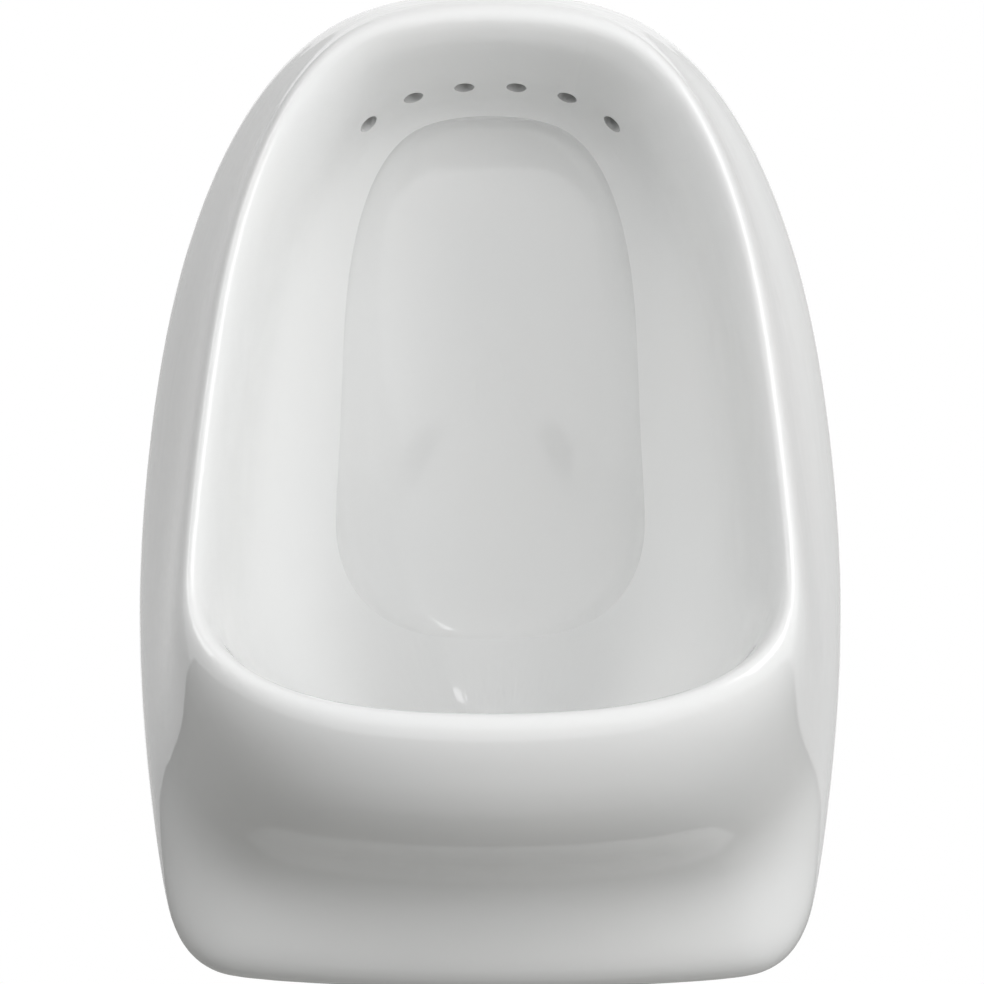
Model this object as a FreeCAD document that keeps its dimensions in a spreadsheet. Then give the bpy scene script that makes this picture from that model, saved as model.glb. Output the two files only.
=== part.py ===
# A wall hung urinal: a glazed vitreous china body with a deep open bowl, a flushing
# hood with six jets and a hollow back, the threaded supply inlet in the hood, the waste
# flange with its lift-out strainer and trap insert, the compact trap under the bowl
# floor, and the steel hangers and angles that hold the china on the wall.
#
# Millimetres. +Z is up, the wall is the plane Y = 0 and the bowl opens towards -Y.
# The origin is the middle of the four upper wall bolts. While a piece is being drawn,
# heights are measured from the bottom edge of the china and "forward" is the distance
# from the wall; its placement then lowers it by the height of the wall bolts.

import FreeCAD, Part
import os
import Sketcher
from math import asin, cos, degrees, pi, sin, sqrt
from FreeCAD import Placement, Rotation, Vector

doc = FreeCAD.newDocument("wall_hung_urinal")

# ---------------------------------------------------------------- driving dimensions

DIMENSIONS = [
    # the china body
    ("china_width", 366, "widest level of the body"),
    ("china_height", 498, "bottom edge to the top of the hood"),
    ("china_projection", 328, "wall to the front of the lip"),
    ("china_wall", 11, "thickness of the cast wall"),
    ("hollow_ceiling", 414, "top of the open hollow at the back"),
    ("service_half_width", 84, "opening in the underside"),
    ("service_rear", 34, "rear edge of the underside opening"),
    ("service_front", 148, "front edge of the underside opening"),
    ("service_corner", 28, "corner radius of the underside opening"),
    # water inlet and flushing channel in the hood
    ("inlet_height", 474, "axis of the supply inlet"),
    ("inlet_bore", 15, "radius of the inlet hole"),
    ("inlet_pocket", 24, "radius of the nut pocket"),
    ("pocket_depth", 12, "wall to the floor of the nut pocket"),
    ("channel_forward", 36, "wall to the middle of the flushing channel"),
    ("channel_half", 9, "half the width and depth of the flushing channel"),
    ("channel_chamfer", 4, "chamfer along the channel"),
    ("channel_bend", 150, "radius of the channel's arch"),
    ("channel_reach", 86, "half span of the channel's arch"),
    ("jet_bore", 5.2, "radius of a flushing jet"),
    ("jet_slope", 53, "jet below the horizontal, degrees"),
    ("jet_length", 44, "from the middle of the channel into the bowl"),
    # supply inlet fittings
    ("spud_thread", 10.48, "outside radius of the threaded tail"),
    ("spud_bore", 7.6, "water way"),
    ("spud_flange", 14, "radius of the inner flange"),
    ("spud_tail", 18, "tail behind the wall face"),
    ("nut_flats", 30, "across flats of the inlet nut"),
    # waste and trap
    ("waste_forward", 104, "wall to the waste axis"),
    ("floor_height", 112, "bowl floor at the waste"),
    ("floor_underside", 98, "underside of the china round the waste"),
    ("flange_seat", 3.4, "depth of the seat for the waste flange"),
    ("flange_radius", 40, "outside radius of the waste flange"),
    ("waste_hole", 33, "radius of the hole in the china"),
    ("spigot_radius", 31.5, "outside radius of the threaded spigot"),
    ("spigot_bore", 28, "clear bore of the spigot"),
    ("cup_radius", 42, "outside radius of the trap cup"),
    ("cup_bottom", 6, "height of the cup's bottom"),
    ("plastic_wall", 3, "wall of the trap"),
    ("outlet_height", 64, "axis of the trap outlet"),
    ("pipe_radius", 20, "outside radius of the outlet pipe"),
    ("pipe_wall", 1.8, "wall of the outlet pipe"),
    ("pipe_tail", 40, "pipe behind the wall face"),
    # fixings
    ("hanger_height", 368, "middle of the upper wall bolts"),
    ("hanger_spacing", 220, "between left and right wall bolts"),
    ("bolt_pitch", 24, "between upper and lower bolt of a hanger"),
    ("bolt_hole", 3.5, "radius of a wall bolt hole"),
    ("hanger_width", 30, "width of a hanger"),
    ("steel", 3, "thickness of the fixing steel"),
    ("rib_rear", 9, "wall to the rear of the hanging rib"),
    ("rib_depth", 11, "thickness of the hanging rib"),
    ("rib_drop", 16, "rib below the ceiling of the hollow"),
    ("angle_spacing", 210, "between the lower wall bolts"),
    ("angle_bolt_height", 46, "lower wall bolts above the bottom edge"),
    ("clamp_forward", 22, "wall to the clamp screws"),
    ("clamp_seat", 13.2, "flat seat of the rubber washer above the bottom edge"),
    ("clamp_sinking", 6.2, "top of the sinking for the screw head"),
]

sheet = doc.addObject("Spreadsheet::Sheet", "dims")
for row_number, (alias, value, note) in enumerate(DIMENSIONS, start=1):
    sheet.set(f"A{row_number}", alias)
    sheet.set(f"B{row_number}", str(value))
    sheet.set(f"C{row_number}", note)
    sheet.setAlias(f"B{row_number}", alias)
doc.recompute()


def size(expression):
    """The value, in millimetres or degrees, of an expression on the sheet."""
    return float(sheet.evalExpression(expression))


# ------------------------------------------------------- shared ways of making pieces

LEVEL = "XY_Plane"       # sketch x is X, sketch y is Y
UPRIGHT = "XZ_Plane"     # sketch x is X, sketch y is Z
SIDEWAYS = "YZ_Plane"    # sketch x is Y, sketch y is Z
FORWARD = Rotation(Vector(1, 0, 0), 90)     # turns a piece's own Z away from the wall

sub_parts = []


def new_body(label, right="0", forward="0", height="0", turn=Rotation()):
    """A body placed by its distance to the right, from the wall and above the base."""
    body = doc.addObject("PartDesign::Body", label)
    body.Placement = Placement(Vector(), turn)
    body.setExpression("Placement.Base.x", right)
    body.setExpression("Placement.Base.y", f"-({forward})")
    body.setExpression("Placement.Base.z", f"({height}) - dims.hanger_height")
    sub_parts.append(body)
    return body


def new_sketch(body, name, plane, offset="0"):
    """An empty sketch on one of the body's own planes."""
    sketch = body.newObject("Sketcher::SketchObject", name)
    support = [item for item in body.Origin.OriginFeatures if item.Role == plane][0]
    sketch.AttachmentSupport = (support, [""])
    sketch.MapMode = "FlatFace"
    sketch.setExpression("AttachmentOffset.Base.z", offset)
    return sketch


def tie_point(sketch, item, end, right, up):
    """Hold one point of the sketch at two sheet expressions."""
    for kind, axis, expression in (("DistanceX", -2, right), ("DistanceY", -1, up)):
        value = size(expression)
        if abs(value) < 1e-9:
            sketch.addConstraint(Sketcher.Constraint("PointOnObject", item, end, axis))
        else:
            index = sketch.addConstraint(
                Sketcher.Constraint(kind, -1, 1, item, end, value))
            sketch.setExpression(f"Constraints[{index}]", expression)


def add_outline(sketch, corners):
    """A closed outline of straight lines through corners given as expressions."""
    points = [Vector(size(right), size(up), 0) for right, up in corners]
    first = sketch.GeometryCount
    count = len(points)
    for index in range(count):
        sketch.addGeometry(Part.LineSegment(points[index], points[(index + 1) % count]))
    for index in range(count):
        following = first + (index + 1) % count
        sketch.addConstraint(
            Sketcher.Constraint("Coincident", first + index, 2, following, 1))
        tie_point(sketch, first + index, 1, *corners[index])


def add_circle(sketch, radius, right="0", up="0"):
    """A circle tied to its centre and radius."""
    centre = Vector(size(right), size(up), 0)
    item = sketch.addGeometry(Part.Circle(centre, Vector(0, 0, 1), size(radius)))
    index = sketch.addConstraint(Sketcher.Constraint("Radius", item, size(radius)))
    sketch.setExpression(f"Constraints[{index}]", radius)
    if size(right) == 0 and size(up) == 0:
        sketch.addConstraint(Sketcher.Constraint("Coincident", item, 3, -1, 1))
    else:
        tie_point(sketch, item, 3, right, up)


def turn_profile(body, name, corners, cut=False):
    """Turn an outline of (radius, height) corners round the body's own Z axis."""
    sketch = new_sketch(body, f"{name}_profile", UPRIGHT)
    add_outline(sketch, corners)
    kind = "PartDesign::Groove" if cut else "PartDesign::Revolution"
    feature = body.newObject(kind, name)
    feature.Profile = sketch
    feature.ReferenceAxis = (sketch, ["V_Axis"])
    feature.Angle = 360
    doc.recompute()
    return feature


def pad(body, name, sketch, length, both_ways=False, backwards=False):
    """Thicken a sketch into the body."""
    feature = body.newObject("PartDesign::Pad", name)
    feature.Profile = sketch
    feature.setExpression("Length", length)
    feature.Midplane = both_ways
    feature.Reversed = backwards
    doc.recompute()
    return feature


def pocket(body, name, sketch, length, both_ways=False, backwards=False):
    """Cut a sketch out of the body, and make sure that it did cut."""
    before = body.Shape.Volume
    feature = body.newObject("PartDesign::Pocket", name)
    feature.Profile = sketch
    feature.setExpression("Length", length)
    feature.Midplane = both_ways
    feature.Reversed = backwards
    doc.recompute()
    if body.Shape.Volume > before - 1e-3:
        raise RuntimeError(f"{body.Label}: {name} cuts nothing")
    return feature


def repeat_round(body, name, feature, count):
    """Repeat a feature evenly round the body's own Z axis."""
    pattern = body.newObject("PartDesign::PolarPattern", name)
    pattern.Originals = [feature]
    axis = [item for item in body.Origin.OriginFeatures if item.Role == "Z_Axis"][0]
    pattern.Axis = (axis, [""])
    pattern.Angle = 360
    pattern.Occurrences = count
    body.Tip = pattern
    doc.recompute()
    return pattern


def round_bends(body, name, outside, inside):
    """Round the bends of a folded plate, each given as (forward, height)."""
    for face, places, radius in (("outside", outside, "dims.steel + 2"),
                                 ("inside", inside, "2")):
        base = body.Tip
        bends = []
        for number, edge in enumerate(base.Shape.Edges, start=1):
            middle = edge.CenterOfMass
            for forward, height in places:
                if (abs(middle.y + size(forward)) < 0.01
                        and abs(middle.z - size(height)) < 0.01):
                    bends.append(f"Edge{number}")
        feature = body.newObject("PartDesign::Fillet", f"{name}_{face}")
        feature.Base = (base, bends)
        feature.setExpression("Radius", radius)
        doc.recompute()


def ring(label, outer, inner, thickness, **place):
    """A flat round washer or gasket."""
    body = new_body(label, **place)
    sketch = new_sketch(body, f"{label}_face", LEVEL)
    add_circle(sketch, outer)
    add_circle(sketch, inner)
    pad(body, f"{label}_thickness", sketch, thickness)
    return body


def hexagon(flats):
    """The corners of a hexagon with the given width across flats."""
    reach = 1 / sqrt(3)
    return [(f"{flats} * {reach * cos(k * pi / 3):.6f}",
             f"{flats} * {reach * sin(k * pi / 3):.6f}") for k in range(6)]


# ------------------------------------------------------------------- the china's form
#
# The whole glazed surface is one skin, drawn through closed lines that run round the
# body: from its edge on the wall, over the sides and the apron, round the rim and down
# into the bowl to the waste. Each line is given by its half width and by the places,
# as (forward, height), where it crosses the middle plane at the top, is widest at the
# side, and crosses the middle plane again at the bottom. The next four numbers say how
# square and how tapered its upper and its lower half are, and the last one how far the
# lower half bows back towards the wall at its sides.
#
# The skin runs a little inside its lines. As they are written here, they give a body of
# these overall sizes; other sizes on the sheet stretch the lines to fit.

LINE_WIDTH = 366
LINE_HEIGHT = 498
LINE_PROJECTION = 328
SPOKES = 24

OUTER_LINES = [
    ("wall edge",     185, (0, 500), (0, 168), (0, 0), 2.9, .14, 10.5, .16, 0),
    ("side rear",     187, (20, 501.5), (25, 168), (110, 0), 2.9, .14, 10.5, .16, 10),
    ("underside",     188.5, (40, 501.5), (50, 169), (190, 7), 2.9, .14, 10.5, .16, 30),
    ("apron edge",    188, (50, 501), (70, 170), (219, 14), 2.9, .145, 10.5, .16, 40),
    ("apron foot",    187, (57, 500.5), (85, 171), (228, 25), 2.9, .15, 9.5, .15, 40),
    ("apron",         184, (63, 500), (105, 173), (229, 46), 2.9, .155, 7.5, .12, 40),
    ("valley",        180, (69, 499.5), (125, 175), (234, 69), 2.95, .16, 6.0, .08, 40),
    ("bulge low",     174, (75, 499), (150, 180), (262, 88), 2.95, .165, 4.6, .06, 55),
    ("bulge middle",  166, (80, 498), (178, 190), (296, 102), 3.05, .17, 3.8, .04, 60),
    ("bulge high",    159, (85, 497), (206, 204), (323, 124), 3.15, .175, 3.1, .02, 40),
    ("lip",           153, (92, 495), (234, 218), (330, 152), 3.3, .175, 2.8, .0, 10),
    ("rim crest",     147.5, (99, 489), (252, 229), (329, 172), 3.4, .175, 2.5, .0, 0),
]
BOWL_LINES = [
    ("rim inside",    140, (94, 476), (251, 232), (315, 175), 3.4, .175, 2.5, .0, 0),
    ("below rim",     134, (80, 467), (234, 224), (305, 163), 3.3, .175, 2.5, .0, 0),
    ("hood face",     130, (60, 455), (208, 212), (296, 152), 3.3, .175, 2.5, .0, 0),
    ("hood corner",   125, (36, 445), (182, 197), (277, 143), 3.3, .175, 2.5, .0, 0),
    ("back top",      117, (28, 424), (160, 181), (256, 135), 3.3, .175, 2.4, .0, 0),
    ("back middle",   102, (26, 340), (142, 156), (232, 127), 3.2, .15, 2.3, .0, 0),
    ("back low",      80, (28, 220), (126, 135), (205, 121), 2.8, .10, 2.2, .0, 0),
    ("floor edge",    56, (38, 142), (114, 120), (172, 116), 2.3, .0, 2.1, .0, 0),
    ("floor",         40, (62, 115), (106, 112), (146, 113), 2.0, .0, 2.0, .0, 0),
    ("waste",         27, (77, 112), (104, 112), (131, 112), 2.0, .0, 2.0, .0, 0),
]


def line_points(line):
    """The control points of one closed line, from the top round to the right."""
    _, half_width, top, side, bottom, upper, upper_taper, lower, lower_taper, bow = line
    points = []
    for spoke in range(SPOKES):
        across = sin(2 * pi * spoke / SPOKES)
        along = cos(2 * pi * spoke / SPOKES)
        power, taper, end, back = (upper, upper_taper, top, 0)
        if along < -1e-9:
            power, taper, end, back = (lower, lower_taper, bottom, bow)
        share = abs(along) ** (2 / power) if abs(along) > 1e-9 else 0
        spread = abs(across) ** (2 / power) if abs(across) > 1e-9 else 0
        reach = half_width * spread * (1 - taper * share ** 1.25)
        forward = side[0] + (end[0] - side[0]) * share
        forward -= back * share * (reach / half_width) ** 2
        height = side[1] + (end[1] - side[1]) * share
        points.append(Vector(
            (reach if across > 0 else -reach) * size("dims.china_width") / LINE_WIDTH,
            -forward * size("dims.china_projection") / LINE_PROJECTION,
            height * size("dims.china_height") / LINE_HEIGHT))
    return points


def skin_solid(label, lines):
    """A closed solid whose side is one smooth skin over the lines."""
    net = [line_points(line) for line in lines]
    steps = len(net) - 3
    surface = Part.BSplineSurface()
    surface.buildFromPolesMultsKnots(
        net, [4] + [1] * (steps - 1) + [4], [1] * (SPOKES + 1),
        list(range(steps + 1)), list(range(SPOKES + 1)), False, True, 3, 3)
    side = surface.toShape()
    ends = [Part.Face(Part.Wire([edge])) for edge in side.Edges if edge.isClosed()]
    shell = Part.makeShell([side] + ends)
    shell.sewShape()
    feature = doc.addObject("Part::Feature", label)
    feature.Shape = Part.makeSolid(shell)
    return feature


def inset(line, wall):
    """A line moved into the china by the thickness of the cast wall."""
    name, half_width, top, side, bottom, *rest = line
    return (name, half_width - wall, (top[0], top[1] - wall), side,
            (bottom[0] - wall, bottom[1] + wall), *rest)


def add_cylinder(label, radius, length, right, forward, height, turn=Rotation()):
    """A plain cylinder whose base centre and axis are given."""
    tool = doc.addObject("Part::Cylinder", label)
    tool.setExpression("Radius", radius)
    tool.setExpression("Height", length)
    tool.Placement = Placement(Vector(), turn)
    tool.setExpression("Placement.Base.x", right)
    tool.setExpression("Placement.Base.y", f"-({forward})")
    tool.setExpression("Placement.Base.z", height)
    return tool


def add_box(label, width, depth, tall, rear, bottom, right="0"):
    """A box centred on its place to the right, from its rear plane and bottom."""
    tool = doc.addObject("Part::Box", label)
    tool.setExpression("Length", width)
    tool.setExpression("Width", depth)
    tool.setExpression("Height", tall)
    tool.setExpression("Placement.Base.x", f"({right}) - ({width}) / 2")
    tool.setExpression("Placement.Base.y", f"-({rear}) - ({depth})")
    tool.setExpression("Placement.Base.z", bottom)
    return tool


def combine(kind, label, base, tool):
    result = doc.addObject(kind, label)
    result.Base = base
    result.Tool = tool
    return result


def fuse_all(label, shapes):
    result = doc.addObject("Part::MultiFuse", label)
    result.Shapes = shapes
    return result


# ------------------------------------------------------------------ urinal_body: china
#
# One slip cast piece. Its outer skin and the bowl are one surface; the back is open,
# with a hollow between the outer wall and the bowl, and a rib on each side of the
# hollow's ceiling by which the china hangs.

wall = size("dims.china_wall")
china_form = skin_solid("china_form", OUTER_LINES + BOWL_LINES)

BEHIND_WALL = -6
hollow_lines = [inset(line, wall) for line in OUTER_LINES[:10]]
rear = hollow_lines[0]
hollow_lines[0] = (rear[0], rear[1], (BEHIND_WALL, rear[2][1]),
                   (BEHIND_WALL, rear[3][1]), (BEHIND_WALL, rear[4][1]), *rear[5:])
# the hollow's skin then closes inside the bowl, where nothing is left to cut
hollow_lines += [
    ("closing 1", 118, (70, 400), (180, 225), (262, 160), 3, .15, 3, 0, 0),
    ("closing 2", 60, (100, 330), (160, 240), (205, 195), 2.5, 0, 2.5, 0, 0),
    ("closing 3", 20, (130, 262), (140, 240), (150, 218), 2, 0, 2, 0, 0),
]
hollow_form = skin_solid("hollow_form", hollow_lines)
below_ceiling = add_box("below_ceiling", "2 * dims.china_width",
                        "dims.china_projection + 20", "dims.hollow_ceiling", "-20", "0")
hollow_space = combine("Part::Common", "hollow_space", hollow_form, below_ceiling)

# the china left round the bowl, as seen from inside the hollow
BOWL_SHELL_LINES = [
    ("under waste",   52, (52, 98), (104, 98), (156, 98), 2.0, .0, 2.0, .0, 0),
    ("under floor",   60, (34, 98.5), (108, 98), (170, 98.5), 2.1, .0, 2.0, .0, 0),
    ("floor corner",  72, (12, 120), (116, 104), (190, 102), 2.4, .0, 2.1, .0, 0),
    ("back low",      93, (4, 215), (126, 121), (214, 109), 2.9, .10, 2.2, .0, 0),
    ("back middle",   113, (4, 340), (142, 143), (240, 114), 3.3, .15, 2.3, .0, 0),
    ("back top",      128, (4, 440), (160, 168), (264, 122), 3.4, .17, 2.4, .0, 0),
    ("over hood",     136, (20, 480), (184, 185), (286, 130), 3.4, .17, 2.5, .0, 0),
    ("rim rear",      144, (60, 500), (214, 200), (308, 139), 3.4, .17, 2.5, .0, 0),
    ("rim outside",   160, (110, 520), (262, 232), (345, 150), 3.4, .17, 2.5, .0, 0),
    ("beyond rim",    170, (150, 540), (285, 240), (330, 140), 3.0, .1, 2.5, .0, 0),
]
bowl_shell = skin_solid("bowl_shell", BOWL_SHELL_LINES)
open_hollow = combine("Part::Cut", "open_hollow", hollow_space, bowl_shell)
hanging_ribs = add_box("hanging_ribs", "dims.hanger_spacing + dims.hanger_width + 30",
                       "dims.rib_depth", "dims.rib_drop + 4", "dims.rib_rear",
                       "dims.hollow_ceiling - dims.rib_drop")
ribbed_hollow = combine("Part::Cut", "ribbed_hollow", open_hollow, hanging_ribs)

# the opening in the underside, through which the trap is reached
service_block = add_box("service_block", "2 * dims.service_half_width",
                        "dims.service_front - dims.service_rear", "dims.china_wall + 12",
                        "dims.service_rear", "-2")
doc.recompute()
service_opening = doc.addObject("Part::Fillet", "service_opening")
service_opening.Base = service_block
corner = size("dims.service_corner")
upright_edges = [number for number, edge in enumerate(service_block.Shape.Edges, start=1)
                 if abs(edge.tangentAt(edge.FirstParameter).z) > 0.99]
service_opening.Edges = [(number, corner, corner) for number in upright_edges]

# waste hole and the seat of its flange in the bowl floor
waste_hole = add_cylinder("waste_hole", "dims.waste_hole", "40", "0",
                          "dims.waste_forward", "dims.floor_height - 30")
flange_seat = add_cylinder("flange_seat", "dims.flange_radius + 0.6", "30", "0",
                           "dims.waste_forward", "dims.floor_height - dims.flange_seat")

# supply inlet from the wall, with the pocket for its nut
inlet_hole = add_cylinder("inlet_hole", "dims.inlet_bore", "dims.channel_forward + 8",
                          "0", "-2", "dims.inlet_height", FORWARD)
nut_pocket = add_cylinder("nut_pocket", "dims.inlet_pocket", "dims.pocket_depth + 2",
                          "0", "-2", "dims.inlet_height", FORWARD)

# the arched flushing channel inside the hood
half_angle = degrees(asin(size("dims.channel_reach / dims.channel_bend")))
CHANNEL_PLACE = ("0", "dims.channel_forward - dims.channel_half",
                 "dims.inlet_height - dims.channel_bend",
                 FORWARD.multiply(Rotation(Vector(0, 0, 1), 90 - half_angle)))
channel_roof = add_cylinder("channel_roof", "dims.channel_bend + dims.channel_half",
                            "2 * dims.channel_half", *CHANNEL_PLACE)
channel_roof.setExpression("Angle", "2 * asin(dims.channel_reach / dims.channel_bend)")
channel_floor = add_cylinder("channel_floor", "dims.channel_bend - dims.channel_half",
                             "2 * dims.channel_half", *CHANNEL_PLACE)
channel_arch = combine("Part::Cut", "channel_arch", channel_roof, channel_floor)
doc.recompute()
channel = doc.addObject("Part::Chamfer", "flushing_channel")
channel.Base = channel_arch
chamfer = size("dims.channel_chamfer")
channel.Edges = [(number, chamfer, chamfer)
                 for number, edge in enumerate(channel_arch.Shape.Edges, start=1)
                 if edge.Curve.TypeId == "Part::GeomCircle"]

# six jets, square to the channel and slanting forwards and down into the bowl
JET_PLACES = (-76, -47, -16, 16, 47, 76)
jets = []
for number, across in enumerate(JET_PLACES, start=1):
    bend = size("dims.channel_bend")
    slope = size("dims.jet_slope") * pi / 180
    lean = asin(across / bend)
    start = Vector(across, -size("dims.channel_forward"),
                   size("dims.inlet_height") - bend + bend * cos(lean))
    aim = Vector(-sin(lean) * sin(slope), -cos(slope), -cos(lean) * sin(slope))
    jet = doc.addObject("Part::Cylinder", f"jet_{number}")
    jet.setExpression("Radius", "dims.jet_bore")
    jet.setExpression("Height", "dims.jet_length")
    jet.Placement = Placement(start, Rotation(Vector(0, 0, 1), aim))
    jets.append(jet)

# holes for the clamp screws in the underside, with a sinking for each head
clamp_holes = []
for side, sign in (("left", "-"), ("right", "")):
    across = f"{sign}dims.angle_spacing / 2"
    clamp_holes.append(add_cylinder(f"clamp_hole_{side}", "4", "dims.clamp_seat + 4",
                                    across, "dims.clamp_forward", "-2"))
    clamp_holes.append(add_cylinder(f"clamp_sinking_{side}", "8",
                                    "dims.clamp_sinking + 2",
                                    across, "dims.clamp_forward", "-2"))
    clamp_holes.append(add_cylinder(f"clamp_seat_{side}", "10", "6",
                                    across, "dims.clamp_forward", "dims.clamp_seat"))

# the shallow tall recess in the bowl's back wall; its floor leans forward to run out
RECESS_LINES = [
    ("in front",      86, (120, 442), (120, 238), (120, 148), 3.2, .0, 2.2, .0, 0),
    ("edge",          84, (36, 440), (76, 238), (50, 148), 3.2, .0, 2.2, .0, 0),
    ("slope",         74, (23, 431), (53, 242), (36, 158), 3.2, .0, 2.2, .0, 0),
    ("floor edge",    60, (20, 422), (36, 260), (31, 172), 3.2, .1, 2.2, .0, 0),
    ("floor",         30, (20, 380), (25, 285), (26, 205), 2.6, .1, 2.2, .0, 0),
    ("floor middle",  8, (21, 310), (22, 290), (23, 270), 2.0, .0, 2.0, .0, 0),
]
bowl_recess = skin_solid("bowl_recess", RECESS_LINES)

doc.recompute()
water_ways = fuse_all("water_ways", [channel, inlet_hole, nut_pocket] + jets)
waste_ways = fuse_all("waste_ways", [waste_hole, flange_seat])
without_hollow = combine("Part::Cut", "without_hollow", china_form, ribbed_hollow)
with_service = combine("Part::Cut", "with_service", without_hollow, service_opening)
with_waste = combine("Part::Cut", "with_waste", with_service, waste_ways)
with_water = combine("Part::Cut", "with_water", with_waste, water_ways)
with_recess = combine("Part::Cut", "with_recess", with_water, bowl_recess)
clamp_ways = fuse_all("clamp_ways", clamp_holes)
urinal_body = combine("Part::Cut", "urinal_body", with_recess, clamp_ways)
urinal_body.setExpression("Placement.Base.z", "-dims.hanger_height")
sub_parts.append(urinal_body)
doc.recompute()

# --------------------------------------------------- supply inlet: five turned pieces
#
# The brass spud stands in the inlet hole with its flange in the flushing channel. The
# nut draws the flange against the rubber bush, which swells and seals the hole.

INLET = {"height": "dims.inlet_height", "turn": FORWARD}
SEAL_FRONT = "dims.pocket_depth + 14"

spud = new_body("inlet_spud", **INLET)
turn_profile(spud, "spud_turning", [
    ("dims.spud_bore", "-dims.spud_tail"),
    ("dims.spud_thread - 1", "-dims.spud_tail"),
    ("dims.spud_thread", "-dims.spud_tail + 1"),
    ("dims.spud_thread", "0"),
    ("dims.spud_thread - 1", "0.5"),
    ("dims.spud_thread - 1", "2"),
    ("dims.spud_thread", "2.5"),
    ("dims.spud_thread", SEAL_FRONT),
    ("dims.spud_flange", SEAL_FRONT),
    ("dims.spud_flange", f"{SEAL_FRONT} + 2"),
    ("dims.spud_flange - 1", f"{SEAL_FRONT} + 3"),
    ("dims.spud_bore + 1", f"{SEAL_FRONT} + 3"),
    ("dims.spud_bore", f"{SEAL_FRONT} + 2"),
])

seal = new_body("inlet_seal", **INLET)
turn_profile(seal, "seal_moulding", [
    ("dims.spud_thread + 0.05", "dims.pocket_depth"),
    ("dims.inlet_bore - 0.6", "dims.pocket_depth"),
    ("dims.inlet_bore - 0.05", "dims.pocket_depth + 4"),
    ("dims.inlet_bore - 0.05", f"{SEAL_FRONT} - 4"),
    ("dims.inlet_bore - 0.6", SEAL_FRONT),
    ("dims.spud_thread + 0.05", SEAL_FRONT),
])

ring("inlet_washer", "20", "dims.spud_thread + 0.15", "1.6", **{
    **INLET, "forward": "dims.pocket_depth - 1.6"})

lock_nut = new_body("inlet_lock_nut", forward="dims.pocket_depth - 8.6",
                    **INLET)
nut_face = new_sketch(lock_nut, "nut_face", LEVEL)
add_outline(nut_face, hexagon("dims.nut_flats"))
add_circle(nut_face, "dims.spud_thread + 0.05")
pad(lock_nut, "nut_blank", nut_face, "7")
turn_profile(lock_nut, "nut_corners", [
    ("dims.nut_flats / 2 - 0.2", "8"),
    ("dims.nut_flats / 2 - 0.2", "7"),
    ("dims.nut_flats / sqrt(3) + 0.1", "5.7"),
    ("dims.nut_flats / sqrt(3) + 1", "5.7"),
    ("dims.nut_flats / sqrt(3) + 1", "8"),
], cut=True)

# ------------------------------------------------------- waste flange and its gaskets

WASTE = {"forward": "dims.waste_forward"}
SEAT = "dims.floor_height - dims.flange_seat"
UNDERSIDE = "dims.floor_underside"
SPIGOT_END = "dims.floor_underside - 15"
STEP = "dims.floor_height - 8"
GASKET = "1.4"

ring("upper_gasket", "dims.flange_radius - 1", "dims.spigot_radius + 0.2", GASKET,
     height=SEAT, **WASTE)

flange = new_body("waste_flange", **WASTE)
turn_profile(flange, "flange_turning", [
    ("dims.spigot_bore", SPIGOT_END),
    ("dims.spigot_radius - 1", SPIGOT_END),
    ("dims.spigot_radius", f"{SPIGOT_END} + 1"),
    ("dims.spigot_radius", f"{SEAT} + {GASKET}"),
    ("dims.flange_radius", f"{SEAT} + {GASKET}"),
    ("dims.flange_radius", f"{SEAT} + {GASKET} + 1"),
    ("dims.flange_radius - 5", "dims.floor_height + 0.4"),
    ("dims.spigot_bore + 3.4", "dims.floor_height + 0.4"),
    ("dims.spigot_bore + 1.8", "dims.floor_height - 1.4"),
    ("dims.spigot_bore + 1.8", STEP),
    ("dims.spigot_bore", STEP),
])

ring("lower_gasket", "dims.cup_radius - 0.5", "dims.spigot_radius + 0.3", "3",
     height=f"{UNDERSIDE} - 3", **WASTE)

# ------------------------------------------------------------------- the compact trap
#
# A moulded cup hangs under the bowl floor, screwed to the waste flange. Water falls
# through the insert's tube, turns at its foot and rises round it to the side outlet.

TRAP_TOP = f"{UNDERSIDE} - 3"
trap = new_body("trap_body", **WASTE)
turn_profile(trap, "trap_moulding", [
    ("0", "dims.cup_bottom"),
    ("dims.cup_radius - 6", "dims.cup_bottom"),
    ("dims.cup_radius", "dims.cup_bottom + 6"),
    ("dims.cup_radius", TRAP_TOP),
    ("dims.spigot_radius + 0.05", TRAP_TOP),
    ("dims.spigot_radius + 0.05", f"{SPIGOT_END} - 0.2"),
    ("dims.cup_radius - dims.plastic_wall", f"{SPIGOT_END} - 4"),
    ("dims.cup_radius - dims.plastic_wall", "dims.cup_bottom + 7"),
    ("dims.cup_radius - 7", "dims.cup_bottom + dims.plastic_wall"),
    ("0", "dims.cup_bottom + dims.plastic_wall"),
])
BRANCH_BORE = "dims.pipe_radius + 0.3"
BRANCH = "dims.pipe_radius + 3.2"
BRANCH_END = "dims.waste_forward - 50"
branch_face = new_sketch(trap, "branch_face", UPRIGHT, "-dims.cup_radius + 10")
add_circle(branch_face, BRANCH, "0", "dims.outlet_height")
branch = pad(trap, "branch", branch_face, f"dims.waste_forward - dims.cup_radius + 10"
             f" - ({BRANCH_END})", backwards=True)
branch_mouth = new_sketch(trap, "branch_mouth", UPRIGHT, "-dims.waste_forward")
add_circle(branch_mouth, BRANCH_BORE, "0", "dims.outlet_height")
pocket(trap, "branch_bore", branch_mouth, "dims.waste_forward - dims.cup_radius + 6",
       backwards=True)
rib_face = new_sketch(trap, "grip_rib_face", LEVEL, "dims.cup_bottom + 12")
add_circle(rib_face, "1.6", "dims.cup_radius")
grip_rib = pad(trap, "grip_rib", rib_face, "18")
repeat_round(trap, "grip_ribs", grip_rib, 12)

# ------------------------------------ the lift-out insert, its seal, and the strainer

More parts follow.
